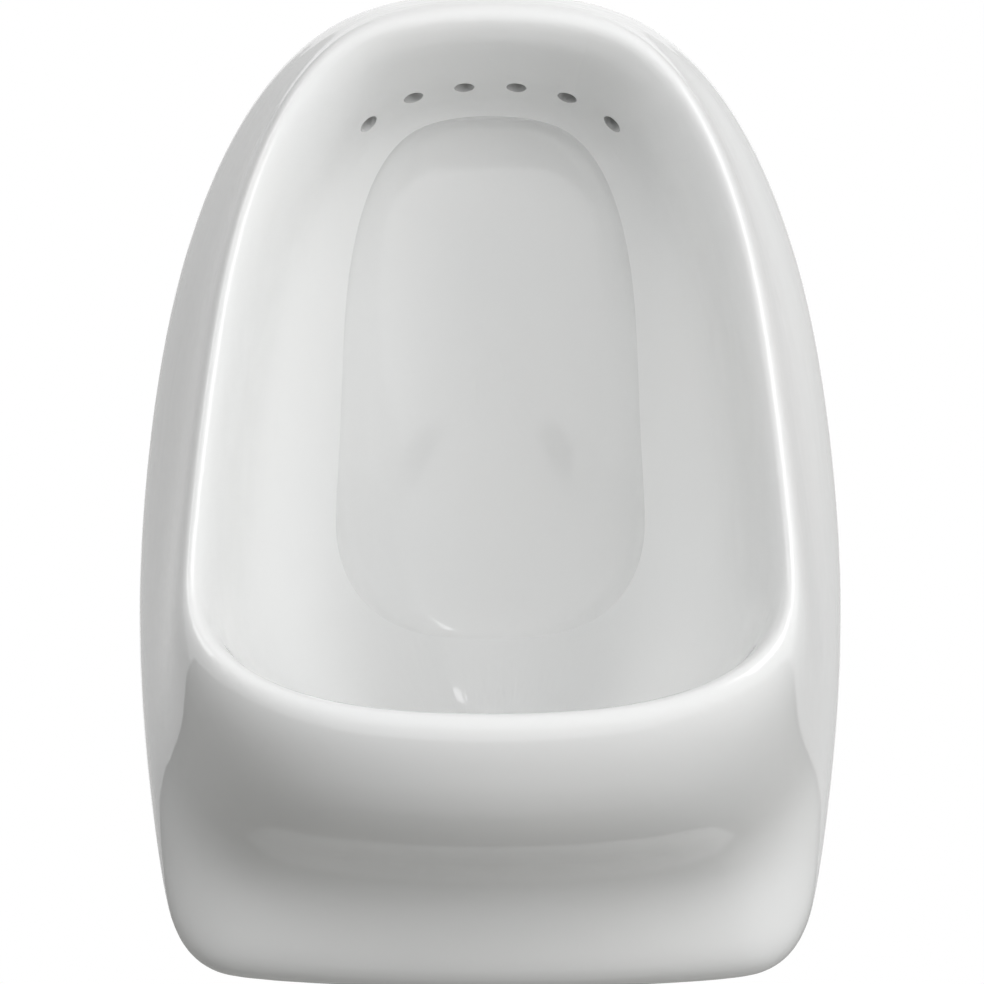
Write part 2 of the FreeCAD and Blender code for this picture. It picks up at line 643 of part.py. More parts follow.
GROOVE = f"{SPIGOT_END} + 14.8"
TUBE_BORE = "17"
TUBE = "19"
insert = new_body("trap_insert", **WASTE)
turn_profile(insert, "insert_moulding", [
    (TUBE_BORE, "dims.cup_bottom + 10"),
    (TUBE, "dims.cup_bottom + 10"),
    (TUBE, f"{SPIGOT_END} + 3"),
    ("dims.spigot_bore - 0.8", f"{SPIGOT_END} + 11"),
    ("dims.spigot_bore - 0.8", GROOVE),
    ("dims.spigot_bore - 2.4", GROOVE),
    ("dims.spigot_bore - 2.4", f"{GROOVE} + 2.4"),
    ("dims.spigot_bore - 0.8", f"{GROOVE} + 2.4"),
    ("dims.spigot_bore - 0.8", f"{STEP} + 0.3"),
    ("dims.spigot_bore + 1.4", f"{STEP} + 0.3"),
    ("dims.spigot_bore + 1.4", f"{STEP} + 2"),
    ("dims.spigot_bore - 4", f"{STEP} + 2"),
    ("dims.spigot_bore - 4", f"{SPIGOT_END} + 13"),
    (TUBE_BORE, f"{SPIGOT_END} + 4.5"),
])

seal_ring = new_body("insert_seal", **WASTE)
turn_profile(seal_ring, "seal_lip", [
    ("dims.spigot_bore - 2.35", f"{GROOVE} + 0.05"),
    ("dims.spigot_bore - 1", f"{GROOVE} + 0.05"),
    ("dims.spigot_bore - 0.05", f"{GROOVE} + 1.7"),
    ("dims.spigot_bore - 0.05", f"{GROOVE} + 2.2"),
    ("dims.spigot_bore - 1", f"{GROOVE} + 1.4"),
    ("dims.spigot_bore - 1.4", f"{GROOVE} + 2.35"),
    ("dims.spigot_bore - 2.35", f"{GROOVE} + 2.35"),
])

RIM_TOP = f"{STEP} + 2.3"
strainer = new_body("waste_strainer", height=RIM_TOP, **WASTE)
turn_profile(strainer, "strainer_pressing", [
    ("0", "3.4"),
    ("14", "2.6"),
    ("25", "0"),
    ("dims.spigot_bore + 1.4", "0"),
    ("dims.spigot_bore + 1.4", "1.5"),
    ("25.4", "1.5"),
    ("14.4", "4.1"),
    ("0", "4.9"),
])
for row_name, distance, count in (("inner", 7.5, 6), ("middle", 13.5, 12), ("outer", 19.5, 18)):
    hole_face = new_sketch(strainer, f"{row_name}_hole_face", LEVEL)
    add_circle(hole_face, "2.1", str(distance))
    first_hole = pocket(strainer, f"{row_name}_hole", hole_face, "10", backwards=True)
    repeat_round(strainer, f"{row_name}_holes", first_hole, count)

knob = new_body("strainer_knob", height=f"{RIM_TOP} + 4.9", **WASTE)
turn_profile(knob, "knob_turning", [
    ("0", "0"),
    ("3.2", "0"),
    ("2.6", "2.4"),
    ("5", "4.6"),
    ("5", "6.4"),
    ("3.6", "7.6"),
    ("0", "8"),
])

# ------------------------------------------------------- outlet seal, nut and the pipe

OUTLET = {"height": "dims.outlet_height", "turn": FORWARD}
PIPE_END = "dims.waste_forward - dims.cup_radius - 3"

outlet_seal = new_body("outlet_seal", **OUTLET)
turn_profile(outlet_seal, "wedge_moulding", [
    ("dims.pipe_radius + 0.05", f"{BRANCH_END} - 6"),
    ("dims.pipe_radius + 3.2", f"{BRANCH_END} - 6"),
    ("dims.pipe_radius + 3.2", BRANCH_END),
    ("dims.pipe_radius + 0.05", BRANCH_END),
])

outlet_nut = new_body("outlet_nut", **OUTLET)
turn_profile(outlet_nut, "nut_moulding", [
    ("dims.pipe_radius + 0.4", f"{BRANCH_END} - 9"),
    ("dims.pipe_radius + 5.4", f"{BRANCH_END} - 9"),
    ("dims.pipe_radius + 6.4", f"{BRANCH_END} - 8"),
    ("dims.pipe_radius + 6.4", f"{BRANCH_END} + 6"),
    (f"{BRANCH} + 0.05", f"{BRANCH_END} + 6"),
    (f"{BRANCH} + 0.05", f"{BRANCH_END} - 6"),
    ("dims.pipe_radius + 0.4", f"{BRANCH_END} - 6"),
])
lobe_face = new_sketch(outlet_nut, "lobe_face", LEVEL, f"{BRANCH_END} - 8")
add_circle(lobe_face, "2", "dims.pipe_radius + 6.4")
lobe = pad(outlet_nut, "lobe", lobe_face, "14")
repeat_round(outlet_nut, "lobes", lobe, 10)

pipe = new_body("outlet_pipe", **OUTLET)
turn_profile(pipe, "pipe_extrusion", [
    ("dims.pipe_radius - dims.pipe_wall", "-dims.pipe_tail"),
    ("dims.pipe_radius - 1", "-dims.pipe_tail"),
    ("dims.pipe_radius", "-dims.pipe_tail + 3"),
    ("dims.pipe_radius", "0"),
    ("dims.pipe_radius + 1.8", "0"),
    ("dims.pipe_radius + 1.8", "2.4"),
    ("dims.pipe_radius", "2.4"),
    ("dims.pipe_radius", PIPE_END),
    ("dims.pipe_radius - dims.pipe_wall", PIPE_END),
])

# ------------------------------------------------ hangers: bent steel hooks on the wall

HOOK_TOP = "dims.hollow_ceiling - dims.rib_drop - 1.5"
HOOK_REACH = "dims.rib_rear + dims.rib_depth + 2.5"
for side, sign in (("left", "-"), ("right", "")):
    across = f"{sign}dims.hanger_spacing / 2"
    hanger = new_body(f"hanger_{side}", right=across)
    profile = new_sketch(hanger, "hook_profile", SIDEWAYS)
    add_outline(profile, [
        ("0", "dims.hanger_height - 24"),
        ("0", HOOK_TOP),
        (f"-({HOOK_REACH})", HOOK_TOP),
        (f"-({HOOK_REACH})", f"{HOOK_TOP} + 9"),
        (f"-({HOOK_REACH}) - dims.steel", f"{HOOK_TOP} + 9"),
        (f"-({HOOK_REACH}) - dims.steel", f"{HOOK_TOP} - dims.steel"),
        ("-dims.steel", f"{HOOK_TOP} - dims.steel"),
        ("-dims.steel", "dims.hanger_height - 24"),
    ])
    pad(hanger, "hook", profile, "dims.hanger_width", both_ways=True)
    round_bends(hanger, "bend",
                [(HOOK_REACH + " + dims.steel", HOOK_TOP + " - dims.steel")],
                [(HOOK_REACH, HOOK_TOP)])
    holes = new_sketch(hanger, "bolt_holes", UPRIGHT)
    for bolt in ("-", "+"):
        add_circle(holes, "dims.bolt_hole", "0",
                   f"dims.hanger_height {bolt} dims.bolt_pitch / 2")
    pocket(hanger, "bolt_hole_pair", holes, "30", both_ways=True)

# one rubber strip on each hook, under the china's rib
pads = doc.addObject("Part::Compound", "hanger_pads")
strips = []
for side, sign in (("left", "-"), ("right", "")):
    strips.append(add_box(f"pad_{side}", "dims.hanger_width - 2", "dims.rib_depth", "1.5",
                          "dims.rib_rear", HOOK_TOP, f"{sign}dims.hanger_spacing / 2"))
pads.Links = strips
pads.setExpression("Placement.Base.z", "-dims.hanger_height")
sub_parts.append(pads)

# ------------------------------- lower angles: they keep the foot of the china in place

LEG = "dims.clamp_seat + 2.2"
for side, sign in (("left", "-"), ("right", "")):
    angle = new_body(f"lower_angle_{side}", right=f"{sign}dims.angle_spacing / 2")
    profile = new_sketch(angle, "angle_profile", SIDEWAYS)
    add_outline(profile, [
        ("0", LEG),
        ("0", "dims.angle_bolt_height + 12"),
        ("-dims.steel", "dims.angle_bolt_height + 12"),
        ("-dims.steel", f"{LEG} + dims.steel"),
        ("-dims.clamp_forward - 12", f"{LEG} + dims.steel"),
        ("-dims.clamp_forward - 12", LEG),
    ])
    pad(angle, "angle", profile, "26", both_ways=True)
    round_bends(angle, "bend", [("0", LEG)], [("dims.steel", f"{LEG} + dims.steel")])
    wall_hole = new_sketch(angle, "wall_hole_face", UPRIGHT)
    add_circle(wall_hole, "dims.bolt_hole", "0", "dims.angle_bolt_height")
    pocket(angle, "wall_hole", wall_hole, "10", both_ways=True)
    clamp_hole = new_sketch(angle, "clamp_hole_face", LEVEL)
    add_circle(clamp_hole, "3.2", "0", "-dims.clamp_forward")
    pocket(angle, "clamp_hole", clamp_hole, "60", both_ways=True)


def pair(label, make):
    """Two alike small pieces, at the left and the right clamp screw, in one node."""
    group = doc.addObject("Part::Compound", label)
    group.Links = [make("left", "-dims.angle_spacing / 2"),
                   make("right", "dims.angle_spacing / 2")]
    group.setExpression("Placement.Base.z", "-dims.hanger_height")
    sub_parts.append(group)


def rubber_washer(side, across):
    outside = add_cylinder(f"rubber_{side}", "9", "2.2", across, "dims.clamp_forward",
                           "dims.clamp_seat")
    hole = add_cylinder(f"rubber_hole_{side}", "3.2", "4", across,
                        "dims.clamp_forward", "dims.clamp_seat - 1")
    return combine("Part::Cut", f"rubber_washer_{side}", outside, hole)


def clamp_screw(side, across):
    shank = add_cylinder(f"shank_{side}", "3", f"{LEG} + dims.steel + 3", across,
                         "dims.clamp_forward", "3.6")
    head = add_cylinder(f"head_{side}", "6.5", "3.6", across, "dims.clamp_forward",
                        "dims.clamp_sinking - 3.6")
    socket = add_cylinder(f"socket_{side}", "2.2", "2", across, "dims.clamp_forward",
                          "dims.clamp_sinking - 3.8")
    whole = combine("Part::Fuse", f"screw_{side}", shank, head)
    return combine("Part::Cut", f"clamp_screw_{side}", whole, socket)


def clamp_nut(side, across):
    blank = doc.addObject("Part::Prism", f"nut_blank_{side}")
    blank.Polygon = 6
    blank.Circumradius = 10 / sqrt(3)
    blank.Height = 5
    blank.setExpression("Placement.Base.x", across)
    blank.setExpression("Placement.Base.y", "-dims.clamp_forward")
    blank.setExpression("Placement.Base.z", f"{LEG} + dims.steel")
    hole = add_cylinder(f"nut_hole_{side}", "3.05", "8", across, "dims.clamp_forward",
                        f"{LEG} + dims.steel - 1")
    return combine("Part::Cut", f"clamp_nut_{side}", blank, hole)


pair("clamp_pads", rubber_washer)
pair("clamp_screws", clamp_screw)
pair("clamp_nuts", clamp_nut)

# ------------------------------------------------------------------ test and write out

doc.recompute()
for item in doc.Objects:
    if "Invalid" in item.State or "Error" in item.State:
        raise RuntimeError(f"{item.Label} failed: {item.State}")
os.makedirs("parts", exist_ok=True)
for piece in sub_parts:
    shape = piece.Shape
    if shape.isNull() or not shape.isValid() or not shape.Solids:
        raise RuntimeError(f"{piece.Label} has no valid solid")
for piece in sub_parts:
    piece.Shape.exportStep(f"parts/{piece.Label}.step")
    box = piece.Shape.BoundBox
    print(f"{piece.Label:20s} solids {len(piece.Shape.Solids)}"
          f"  volume {piece.Shape.Volume / 1000:9.2f} cm3"
          f"  x {box.XMin:7.1f} {box.XMax:7.1f}  y {box.YMin:7.1f} {box.YMax:7.1f}"
          f"  z {box.ZMin:7.1f} {box.ZMax:7.1f}")
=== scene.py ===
# A wall hung urinal of white glazed china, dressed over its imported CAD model.
#
# Metres, in the model's own frame: +Z is up, the wall is the plane Y = 0, and the bowl
# opens towards -Y. The sections follow the object as it is put together: the studio
# and the camera, the china, the supply inlet, the waste and its trap, and the steel
# that holds the china on the wall.

import bpy
from math import cos, pi, radians, sin
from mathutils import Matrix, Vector


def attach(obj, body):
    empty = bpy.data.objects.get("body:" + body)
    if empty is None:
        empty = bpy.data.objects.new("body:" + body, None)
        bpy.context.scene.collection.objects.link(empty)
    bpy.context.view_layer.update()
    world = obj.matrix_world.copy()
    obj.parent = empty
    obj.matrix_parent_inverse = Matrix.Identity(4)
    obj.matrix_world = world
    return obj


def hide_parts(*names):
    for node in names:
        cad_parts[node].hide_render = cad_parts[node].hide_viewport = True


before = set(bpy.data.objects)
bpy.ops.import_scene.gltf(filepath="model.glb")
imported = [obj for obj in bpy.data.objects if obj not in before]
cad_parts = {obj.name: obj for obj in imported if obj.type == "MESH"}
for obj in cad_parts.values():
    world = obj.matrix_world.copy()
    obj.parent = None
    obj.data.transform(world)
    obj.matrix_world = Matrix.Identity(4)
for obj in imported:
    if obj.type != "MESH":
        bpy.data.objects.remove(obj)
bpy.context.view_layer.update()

# ------------------------------------------------------------------------ the camera
#
# It stands straight in front, a little above the lip, and looks slightly down, so that
# the hood's jets and the slope of the lip both show.

VIEW_CENTRE = Vector((0, -0.160, -0.1145))
VIEW_DISTANCE = 1.8
VIEW_ELEVATION = radians(8)
VIEW_WIDTH = 0.488               # width of the picture at the view's centre
SENSOR = 36.0                    # millimetres
PICTURE = 984                    # pixels each way
OBJECT_MIDDLE = 490.3            # pixel column of the object's middle plane

camera_data = bpy.data.cameras.new("front_camera")
camera_data.sensor_width = SENSOR
camera_data.lens = SENSOR * VIEW_DISTANCE / VIEW_WIDTH
camera_data.shift_x = (PICTURE / 2 - OBJECT_MIDDLE) / PICTURE
camera = bpy.data.objects.new("front_camera", camera_data)
bpy.context.collection.objects.link(camera)
towards_camera = Vector((0, -cos(VIEW_ELEVATION), sin(VIEW_ELEVATION)))
camera.location = VIEW_CENTRE + VIEW_DISTANCE * towards_camera
camera.rotation_euler = towards_camera.to_track_quat("Z", "Y").to_euler()
bpy.context.scene.camera = camera
bpy.context.scene.view_settings.view_transform = "Standard"

# ------------------------------------------------------------------------ the studio
#
# A painted floor below, softboxes on both sides, cloths that spread the light from the
# front, the right, the left and behind, and a dim white room round them. The floor stops
# short of what the camera sees, so the object stands against the room's white. Two grey
# gauzes behind it, outside the picture, keep the room from bleaching its outer sides.

LIP_HEIGHT = -0.196
FLOOR_BELOW_LIP = 0.61
FLOOR_WIDTH = 9.0
FLOOR_FRONT = -8.0
FLOOR_REAR = 1.3
FLOOR_GREY = "#A4A4A2"
FLOOR_PALE = 0.42                # added for the camera alone, so that it stays pale
ROOM_LIGHT = 0.15
FLAG_GAP = 0.62                  # from the middle to the gauze, outside the picture
FLAG_WIDTH = 3.0
FLAG_HEIGHT = 3.6
FLAG_BEHIND = 2.0
GAUZE_OPEN = 0.56                # share of the light that passes
GAUZE_UNEVEN = 0.03


def linear(hex_colour):
    """An sRGB hex colour as the linear RGBA that Blender's nodes take."""
    channels = [int(hex_colour[k:k + 2], 16) / 255 for k in (1, 3, 5)]
    return [c / 12.92 if c <= 0.04045 else ((c + 0.055) / 1.055) ** 2.4
            for c in channels] + [1.0]


def add_node(tree, kind, settings=None, **links):
    """A node of that kind with its properties and inputs set, and its inputs linked."""
    node = tree.nodes.new(kind)
    for name, value in (settings or {}).items():
        if isinstance(name, int) or name in node.inputs:
            node.inputs[name].default_value = value
        else:
            setattr(node, name, value)
    for name, source in links.items():
        target = int(name[1:]) if name[0] == "_" else name.replace("_", " ")
        tree.links.new(source, node.inputs[target])
    return node


def new_material(name):
    """An empty node material and its tree."""
    material = bpy.data.materials.new(name)
    material.use_nodes = True
    material.node_tree.nodes.clear()
    return material, material.node_tree


def cover(material, *names):
    """Put a material in every slot of the named CAD nodes."""
    for name in names:
        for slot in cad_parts[name].material_slots:
            slot.material = material


world = bpy.data.worlds.new("white_room")
bpy.context.scene.world = world
world.use_nodes = True
tree = world.node_tree
tree.nodes.clear()
rays = add_node(tree, "ShaderNodeLightPath")
looks = add_node(tree, "ShaderNodeMath", {"operation": "MAXIMUM"},
                 _0=rays.outputs["Is Camera Ray"], _1=rays.outputs["Is Glossy Ray"])
seen = add_node(tree, "ShaderNodeMath", {"operation": "MAXIMUM"},
                _0=looks.outputs[0], _1=rays.outputs["Is Transmission Ray"])
room = add_node(tree, "ShaderNodeBackground",
                {"Color": (1, 1, 1, 1), "Strength": ROOM_LIGHT})
backdrop = add_node(tree, "ShaderNodeBackground", {"Color": (1, 1, 1, 1), "Strength": 1.0})
sky = add_node(tree, "ShaderNodeMixShader", Fac=seen.outputs[0], _1=room.outputs[0],
               _2=backdrop.outputs[0])
add_node(tree, "ShaderNodeOutputWorld", Surface=sky.outputs[0])

# Matt grey paint put on with a roller. From underneath the floor isn't there, so that
# nothing hides the object.
board, tree = new_material("matt_painted_floor")
place = add_node(tree, "ShaderNodeTexCoord")
sides = add_node(tree, "ShaderNodeNewGeometry")
rays = add_node(tree, "ShaderNodeLightPath")
roller = add_node(tree, "ShaderNodeTexNoise", {"Scale": 90.0, "Detail": 3.0},
                  Vector=place.outputs["Object"])
nap = add_node(tree, "ShaderNodeBump", {"Strength": 0.1, "Distance": 0.001},
               Height=roller.outputs[0])
pale = add_node(tree, "ShaderNodeMath", {"operation": "MULTIPLY", 1: FLOOR_PALE},
                _0=rays.outputs["Is Camera Ray"])
paint = add_node(tree, "ShaderNodeBsdfPrincipled",
                 {"Base Color": linear(FLOOR_GREY), "Roughness": 0.9,
                  "Emission Color": (1, 1, 1, 1)},
                 Emission_Strength=pale.outputs[0], Normal=nap.outputs[0])
under = add_node(tree, "ShaderNodeBsdfTransparent")
one_sided = add_node(tree, "ShaderNodeMixShader", Fac=sides.outputs["Backfacing"],
                     _1=paint.outputs[0], _2=under.outputs[0])
add_node(tree, "ShaderNodeOutputMaterial", Surface=one_sided.outputs[0])

bpy.ops.object.select_all(action="DESELECT")
bpy.ops.mesh.primitive_plane_add(size=1, location=(0, 0, 0))
floor = bpy.context.object
floor.name = "studio_floor"
floor.scale = (FLOOR_WIDTH, FLOOR_REAR - FLOOR_FRONT, 1)
floor.location = (0, (FLOOR_REAR + FLOOR_FRONT) / 2, LIP_HEIGHT - FLOOR_BELOW_LIP)
bpy.ops.object.transform_apply(location=True, rotation=False, scale=True)
floor.data.materials.append(board)

# Thin grey cloth that lets about half of the room's white through.
gauze, tree = new_material("grey_gauze")
place = add_node(tree, "ShaderNodeTexCoord")
weave = add_node(tree, "ShaderNodeTexNoise", {"Scale": 40.0, "Detail": 2.0},
                 Vector=place.outputs["Object"])
open_part = add_node(tree, "ShaderNodeMapRange",
                     {"To Min": GAUZE_OPEN - GAUZE_UNEVEN,
                      "To Max": GAUZE_OPEN + GAUZE_UNEVEN},
                     Value=weave.outputs[0])
threads = add_node(tree, "ShaderNodeBsdfDiffuse", {"Color": linear(FLOOR_GREY)})
holes = add_node(tree, "ShaderNodeBsdfTransparent")
cloth = add_node(tree, "ShaderNodeMixShader", Fac=open_part.outputs[0],
                 _1=threads.outputs[0], _2=holes.outputs[0])
add_node(tree, "ShaderNodeOutputMaterial", Surface=cloth.outputs[0])

for side in (-1, 1):
    bpy.ops.object.select_all(action="DESELECT")
    bpy.ops.mesh.primitive_plane_add(size=1, location=(0, 0, 0))
    flag = bpy.context.object
    flag.name = "grey_flag_left" if side < 0 else "grey_flag_right"
    flag.scale = (FLAG_WIDTH, FLAG_HEIGHT, 1)
    flag.rotation_euler = (pi / 2, 0, 0)
    flag.location = (side * (FLAG_GAP + FLAG_WIDTH / 2), FLAG_BEHIND, 0)
    bpy.ops.object.transform_apply(location=True, rotation=True, scale=True)
    flag.data.materials.append(gauze)
    flag.visible_camera = False


def add_softbox(name, azimuth, elevation, distance, width, height, power, mirrored=True):
    """A softbox facing the view's centre, at degrees to the right and above level.

    One that isn't mirrored lights the glaze but leaves no patch of itself in it.
    """
    lamp = bpy.data.lights.new(name, "AREA")
    lamp.shape = "RECTANGLE"
    lamp.size = width
    lamp.size_y = height
    lamp.energy = power
    softbox = bpy.data.objects.new(name, lamp)
    bpy.context.collection.objects.link(softbox)
    side, up = radians(azimuth), radians(elevation)
    outwards = Vector((sin(side) * cos(up), -cos(side) * cos(up), sin(up)))
    softbox.location = VIEW_CENTRE + distance * outwards
    softbox.rotation_euler = outwards.to_track_quat("Z", "Y").to_euler()
    softbox.visible_glossy = mirrored
    softbox.visible_camera = False


add_softbox("upper_right_softbox", 68, 46, 2.3, 1.1, 1.5, 18)
add_softbox("upper_left_softbox", -74, 50, 2.3, 0.6, 1.2, 6.5)
add_softbox("right_cloth", 54, 5, 2.3, 2.2, 1.1, 22, mirrored=False)
add_softbox("front_cloth", 6, 36, 2.3, 1.3, 1.1, 19.5, mirrored=False)
add_softbox("left_cloth", -68, 33, 2.3, 1.6, 1.2, 10, mirrored=False)
add_softbox("rear_cloth", 180, 22, 1.7, 1.1, 0.9, 13, mirrored=False)

# ------------------------------------------------------- the china: urinal_body, cast
#
# One piece of vitreous china, slip cast in plaster, sprayed with an opaque white glaze
# and fired. The glaze is glassy and slightly wavy and thinner in the hollow behind; the
# edge on the wall is wiped bare, so that the piece doesn't stick in the kiln.

GLAZE_WHITE = "#E9E9E8"
GLAZE_THICK = "#E6E7E7"          # where the glaze has run and lies thicker
BARE_CHINA = "#D9D3C6"
GLAZE_IOR = 1.52
GLAZE_WAVE = 0.018               # metres from crest to crest of the glaze's flow
WIPED_EDGE = 0.0008              # metres in front of the wall

glaze, tree = new_material("glazed_vitreous_china")
place = add_node(tree, "ShaderNodeTexCoord")
surface = add_node(tree, "ShaderNodeNewGeometry")
faces = add_node(tree, "ShaderNodeSeparateXYZ", Vector=surface.outputs["Normal"])
depth = add_node(tree, "ShaderNodeSeparateXYZ", Vector=place.outputs["Object"])
flow = add_node(tree, "ShaderNodeTexNoise",
                {"Scale": 1 / GLAZE_WAVE, "Detail": 2.0, "Roughness": 0.45},
                Vector=place.outputs["Object"])
runs = add_node(tree, "ShaderNodeTexNoise", {"Scale": 9.0, "Detail": 1.0},
                Vector=place.outputs["Object"])
white = add_node(tree, "ShaderNodeMix",
                 {"data_type": "RGBA", 6: linear(GLAZE_WHITE), 7: linear(GLAZE_THICK)},
                 _0=runs.outputs[0])
ragged = add_node(tree, "ShaderNodeMath", {"operation": "MULTIPLY_ADD", 1: 0.0006},
                  _0=flow.outputs[0], _2=depth.outputs["Y"])
bare = add_node(tree, "ShaderNodeMapRange",
                {"From Min": -WIPED_EDGE, "From Max": -WIPED_EDGE + 0.0004},
                Value=ragged.outputs[0])
back_face = add_node(tree, "ShaderNodeMapRange", {"From Min": 0.1, "From Max": 0.35},
                     Value=faces.outputs["Y"])
china_colour = add_node(tree, "ShaderNodeMix", {"data_type": "RGBA", 7: linear(BARE_CHINA)},
                        _0=bare.outputs[0], _6=white.outputs[2])
thin_glaze = add_node(tree, "ShaderNodeMapRange", {"To Min": 0.055, "To Max": 0.22},
                      Value=back_face.outputs[0])
smooth_to_bare = add_node(tree, "ShaderNodeMapRange", {"To Min": 0.0, "To Max": 0.75},
                          Value=bare.outputs[0])
gloss = add_node(tree, "ShaderNodeMath", {"operation": "ADD"},
                 _0=thin_glaze.outputs[0], _1=smooth_to_bare.outputs[0])
ripple = add_node(tree, "ShaderNodeBump", {"Strength": 0.02, "Distance": 0.001},
                  Height=flow.outputs[0])
shine = add_node(tree, "ShaderNodeBsdfPrincipled", {"IOR": GLAZE_IOR},
                 Base_Color=china_colour.outputs[2], Roughness=gloss.outputs[0],
                 Normal=ripple.outputs[0])
add_node(tree, "ShaderNodeOutputMaterial", Surface=shine.outputs[0])
cover(glaze, "urinal_body")

# ------------------------------- the supply inlet: spud, washer and lock nut, of brass
#
# Bar brass turned on a lathe: the threaded spud stands in the hole of the hood and the
# hexagon nut draws its flange up. The tool leaves fine rings round the axis.

BRASS = "#C7A35A"
BRASS_DARK = "#A9854A"
TOOL_MARK = 0.0009               # metres between rings, drawn coarser than the real ones
INLET_HEIGHT = 0.106

brass, tree = new_material("turned_brass")
place = add_node(tree, "ShaderNodeTexCoord")
centred = add_node(tree, "ShaderNodeMapping", {"Location": (0, 0, -INLET_HEIGHT)},
                   Vector=place.outputs["Object"])
axes = add_node(tree, "ShaderNodeSeparateXYZ", Vector=centred.outputs[0])
flat = add_node(tree, "ShaderNodeCombineXYZ", X=axes.outputs["X"], Z=axes.outputs["Z"])
radius = add_node(tree, "ShaderNodeVectorMath", {"operation": "LENGTH"},
                  Vector=flat.outputs[0])
along = add_node(tree, "ShaderNodeMath", {"operation": "ADD"},
                 _0=radius.outputs["Value"], _1=axes.outputs["Y"])
turns = add_node(tree, "ShaderNodeMath",
                 {"operation": "MULTIPLY", 1: 6.2832 / TOOL_MARK}, _0=along.outputs[0])
rings = add_node(tree, "ShaderNodeMath", {"operation": "SINE"}, _0=turns.outputs[0])
tarnish = add_node(tree, "ShaderNodeTexNoise", {"Scale": 130.0, "Detail": 4.0},
                   Vector=place.outputs["Object"])
tone = add_node(tree, "ShaderNodeMix",
                {"data_type": "RGBA", 6: linear(BRASS), 7: linear(BRASS_DARK)},
                _0=tarnish.outputs[0])
dull = add_node(tree, "ShaderNodeMapRange", {"To Min": 0.2, "To Max": 0.42},
                Value=tarnish.outputs[0])
tooled = add_node(tree, "ShaderNodeBump", {"Strength": 0.35, "Distance": 0.0001},
                  Height=rings.outputs[0])
metal = add_node(tree, "ShaderNodeBsdfPrincipled", {"Metallic": 1.0},
                 Base_Color=tone.outputs[2], Roughness=dull.outputs[0],
                 Normal=tooled.outputs[0])
add_node(tree, "ShaderNodeOutputMaterial", Surface=metal.outputs[0])
cover(brass, "inlet_spud", "inlet_washer", "inlet_lock_nut")

# The spud itself, with the thread that the CAD has as a plain cylinder. The body is run
# out ring by ring from the end of its tail, through the flange, and back up the bore.

THREAD_CREST = 0.01046           # half inch pipe thread
THREAD_ROOT = 0.0093
THREAD_PITCH = 0.001814
SPUD_BORE = 0.0076
TAIL_END = 0.018
THREAD_START = -0.0228           # middle of the first turn, along Y
THREAD_TURNS = 22
THREAD_FOOT = 0.0015             # width of the ridge where it leaves the root
THREAD_FLAT = 0.25               # width of its crest, as a share of the foot
THREAD_SUNK = 0.0001             # how far the ridge stands in the body
SPUD_RINGS = [                   # radius and place along Y of each ring
    (SPUD_BORE, TAIL_END), (SPUD_BORE + 0.0003, TAIL_END), (0.0089, TAIL_END),
    (THREAD_ROOT, TAIL_END - 0.0005), (THREAD_ROOT, -0.0238), (0.01044, -0.0246),
    (0.01044, -0.0258), (0.0107, -0.026), (0.0138, -0.026), (0.014, -0.0262),
    (0.014, -0.028), (0.013, -0.029), (0.0089, -0.029), (SPUD_BORE, -0.0278),
    (SPUD_BORE, TAIL_END)]


def extrude_rings(name, rings, height, steps=96):
    """A closed body round the axis along Y at that height, extruded ring by ring."""
    bpy.ops.object.select_all(action="DESELECT")
    radius, place = rings[0]
    bpy.ops.mesh.primitive_circle_add(vertices=steps, radius=radius,
                                      location=(0, place, height),
                                      rotation=(pi / 2, 0, 0))
    piece = bpy.context.object
    piece.name = name
    bpy.ops.object.transform_apply(location=True, rotation=True, scale=True)
    bpy.ops.object.mode_set(mode="EDIT")
    bpy.ops.mesh.select_all(action="SELECT")
    for wider, further in rings[1:]:
        bpy.ops.mesh.extrude_region_move(
            TRANSFORM_OT_translate={"value": (0, further - place, 0)})
        factor = wider / radius
        bpy.ops.transform.resize(value=(factor, 1, factor),
                                 center_override=(0, further, height))
        radius, place = wider, further
    bpy.ops.mesh.select_all(action="SELECT")
    bpy.ops.mesh.remove_doubles(threshold=0.00001)
    bpy.ops.mesh.normals_make_consistent(inside=False)
    bpy.ops.object.mode_set(mode="OBJECT")
    return piece


spud = extrude_rings("threaded_spud", SPUD_RINGS, INLET_HEIGHT)

ridge_base = THREAD_ROOT - THREAD_SUNK
bpy.ops.object.select_all(action="DESELECT")
bpy.ops.mesh.primitive_plane_add(size=1, location=(0, 0, INLET_HEIGHT))
ridge = bpy.context.object
ridge.name = "spud_thread"
bpy.ops.object.mode_set(mode="EDIT")
bpy.ops.mesh.select_all(action="SELECT")
bpy.ops.transform.resize(value=(THREAD_CREST - ridge_base, THREAD_FOOT, 1),
                         center_override=(0, 0, INLET_HEIGHT))
bpy.ops.transform.translate(value=((THREAD_CREST + ridge_base) / 2, THREAD_START, 0))
bpy.ops.object.mode_set(mode="OBJECT")
for vertex in ridge.data.vertices:
    vertex.select = vertex.co.x > THREAD_ROOT
bpy.ops.object.mode_set(mode="EDIT")
bpy.context.tool_settings.mesh_select_mode = (True, False, False)
bpy.ops.transform.resize(value=(1, THREAD_FLAT, 1),
                         center_override=(0, THREAD_START, INLET_HEIGHT))
bpy.ops.object.mode_set(mode="OBJECT")
winding = ridge.modifiers.new("winding", "SCREW")
winding.axis = "Y"
winding.angle = 2 * pi
winding.screw_offset = THREAD_PITCH
winding.iterations = THREAD_TURNS
winding.steps = 48
winding.render_steps = 48
bpy.ops.object.modifier_apply(modifier="winding")
bpy.ops.object.transform_apply(location=True, rotation=True, scale=True)
bpy.ops.object.mode_set(mode="EDIT")
bpy.ops.mesh.select_all(action="SELECT")
bpy.ops.mesh.fill_holes(sides=4)
bpy.ops.mesh.select_all(action="SELECT")
